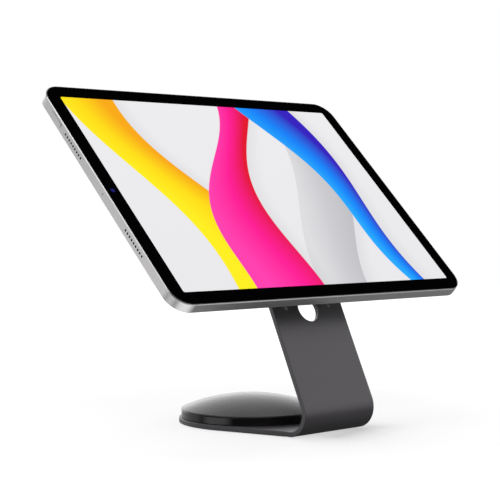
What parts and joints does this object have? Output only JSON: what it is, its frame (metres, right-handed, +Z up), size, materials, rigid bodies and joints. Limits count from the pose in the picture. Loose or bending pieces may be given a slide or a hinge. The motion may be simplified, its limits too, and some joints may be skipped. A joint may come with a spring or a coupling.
{
  "type": "tablet security kiosk stand",
  "caption": "Counter-top kiosk stand: a bent metal arm on a weighted round base with a domed cover holds a locked tablet that tilts, swivels and lifts off when unlocked.",
  "frame": {"origin": "on the table top, under the centre of the round base", "axes": "+X along the tablet's long side (to the right seen from the screen side), +Y to the back of the stand, +Z up; the screen faces -Y and up"},
  "size_m": [0.2479, 0.1347, 0.2086],
  "materials": {
    "coat_dark": "fine satin powder coat, dark grey",
    "rubber_black": "matt, fine grain",
    "steel_plain": "bright zinc-plated, satin",
    "ring_gloss": "polished black",
    "dome_satin": "smooth satin dark grey",
    "screw_steel": "turned steel",
    "screw_black": "black oxide",
    "bronze": "sintered bronze",
    "acetal_white": "turned acetal",
    "alu_dark": "dark anodised, bead blasted",
    "silicone_grey": "matt silicone",
    "nickel": "bright nickel",
    "foam_black": "adhesive foam",
    "alu_silver": "silver anodised, bead blasted",
    "screen_glass": "polished cover glass with a black printed border",
    "display": "lit display, abstract bands of colour on white",
    "battery_black": "foil pouch",
    "board_green": "printed circuit board with shields",
    "speaker_black": "moulded plastic",
    "lens_black": "coated lens glass",
    "flash_white": "flash diffuser"
  },
  "bodies": {
    "stand": {"stand_plate": "coat_dark", "foot_pad": "rubber_black", "ballast_disc": "steel_plain", "trim_ring": "ring_gloss", "dome_cover": "dome_satin", "base_screws": "screw_steel", "hinge_pin": "screw_steel", "spring_washers": "screw_steel", "pin_nut": "screw_steel", "friction_washers": "bronze"},
    "tilt_carrier": {"tilt_leaf": "coat_dark", "swivel_bush": "acetal_white", "glide_washer": "acetal_white"},
    "dock": {"dock_plate": "alu_dark", "dock_pad": "silicone_grey", "dock_magnets": "nickel", "swivel_hub": "steel_plain", "swivel_spring": "screw_steel", "hub_retainer": "steel_plain", "hub_screws": "screw_black", "stop_pin": "steel_plain", "lock_body": "nickel"},
    "lock": {"lock_cylinder": "nickel", "lock_cam": "steel_plain", "cam_screw": "screw_steel"},
    "tablet": {"adhesive_sheet": "foam_black", "adapter_plate": "steel_plain", "keeper_hook": "steel_plain", "tablet_shell": "alu_silver", "cover_glass": "screen_glass", "display_panel": "display", "battery_cells": "battery_black", "logic_board": "board_green", "board_screws": "screw_steel", "speaker_modules": "speaker_black", "microphone": "nickel", "front_camera": "lens_black", "rear_camera_ring": "alu_silver", "rear_camera_lens": "lens_black", "camera_flash": "flash_white", "charging_port": "steel_plain", "button_switches": "speaker_black"},
    "top_key": {"top_button": "alu_silver"},
    "volume_up_key": {"volume_up_button": "alu_silver"},
    "volume_down_key": {"volume_down_button": "alu_silver"}
  },
  "joints": [
    {"name": "screen_tilt", "type": "hinge", "parent": "stand", "child": "tilt_carrier", "pos_m": [0, -0.0351, 0.09457], "axis": [1, 0, 0], "range_deg": [-35, 20]},
    {"name": "screen_swivel", "type": "hinge", "parent": "tilt_carrier", "child": "dock", "pos_m": [0, 0.00024, 0.13598], "axis": [0, -0.7071, 0.7071], "range_deg": [-90, 90]},
    {"name": "lock_turn", "type": "hinge", "parent": "dock", "child": "lock", "pos_m": [0, 0.02499, 0.1579], "axis": [0, 0.7071, -0.7071], "range_deg": [0, 90]},
    {"name": "tablet_release", "type": "slide", "parent": "dock", "child": "tablet", "axis": [0, -0.7071, 0.7071], "range_m": [0, 0.05]},
    {"name": "top_button_press", "type": "slide", "parent": "tablet", "child": "top_key", "axis": [1, 0, 0], "range_m": [0, 0.0003], "stiffness_N_per_m": 4000, "springref_m": -0.0001},
    {"name": "volume_up_press", "type": "slide", "parent": "tablet", "child": "volume_up_key", "axis": [0, -0.7071, -0.7071], "range_m": [0, 0.0003], "stiffness_N_per_m": 4000, "springref_m": -0.0001},
    {"name": "volume_down_press", "type": "slide", "parent": "tablet", "child": "volume_down_key", "axis": [0, -0.7071, -0.7071], "range_m": [0, 0.0003], "stiffness_N_per_m": 4000, "springref_m": -0.0001}
  ]
}
